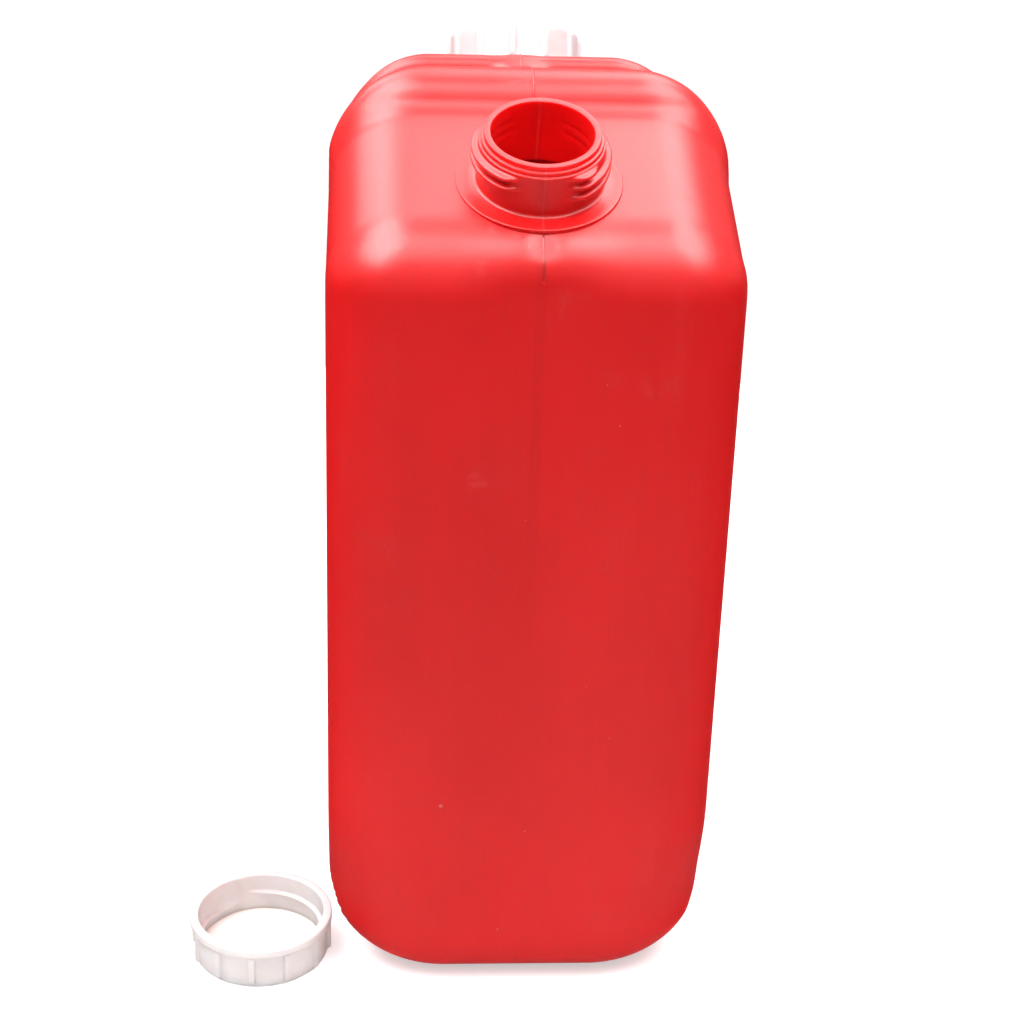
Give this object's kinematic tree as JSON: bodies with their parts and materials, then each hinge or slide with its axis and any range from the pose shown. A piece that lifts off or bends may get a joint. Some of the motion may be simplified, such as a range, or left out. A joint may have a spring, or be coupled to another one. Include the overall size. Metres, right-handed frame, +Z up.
{
  "type": "jerry can",
  "caption": "Tall red blow-moulded plastic jerry can: two tilted screw necks, hollow handle between two crests, ribbed translucent caps with sealing discs, one cap off beside it.",
  "frame": {"origin": "middle of the can's underside in plan, on the plane the can stands on", "axes": "+X across the can to the right seen from the open neck's end, +Y from the open neck to the capped neck, +Z up"},
  "size_m": [0.2579, 0.2828, 0.4366],
  "materials": {
    "red_polyethylene": "smooth blow-moulded high-density polyethylene, soft sheen, faint vertical draw lines",
    "natural_polyethylene": "translucent uncoloured polyethylene, moulded, satin",
    "seal_disc": "smooth white foamed polyethylene disc"
  },
  "bodies": {
    "can": {"can_body": "red_polyethylene"},
    "rear_seal": {"rear_cap_seal": "seal_disc"},
    "rear_cap": {"rear_cap": "natural_polyethylene"},
    "loose_cap": {"loose_cap": "natural_polyethylene", "loose_cap_seal": "seal_disc"}
  },
  "joints": [
    {"name": "rear_cap_rise", "type": "slide", "parent": "can", "child": "rear_seal", "axis": [0, 0.3923, 0.9198], "range_m": [0, 0.015]},
    {"name": "rear_cap_turn", "type": "hinge", "parent": "rear_seal", "child": "rear_cap", "pos_m": [0, 0.0966, 0.39853], "axis": [0, 0.3923, 0.9198], "range_deg": [0, 1080]},
    {"name": "loose_cap_lift", "type": "slide", "parent": "can", "child": "loose_cap", "axis": [-0.5, 0, 0.866], "range_m": [0, 0.1]}
  ],
  "couplings": [
    {"joint": "rear_cap_rise", "follows": "rear_cap_turn", "m_per_rad": 0.00079577}
  ]
}
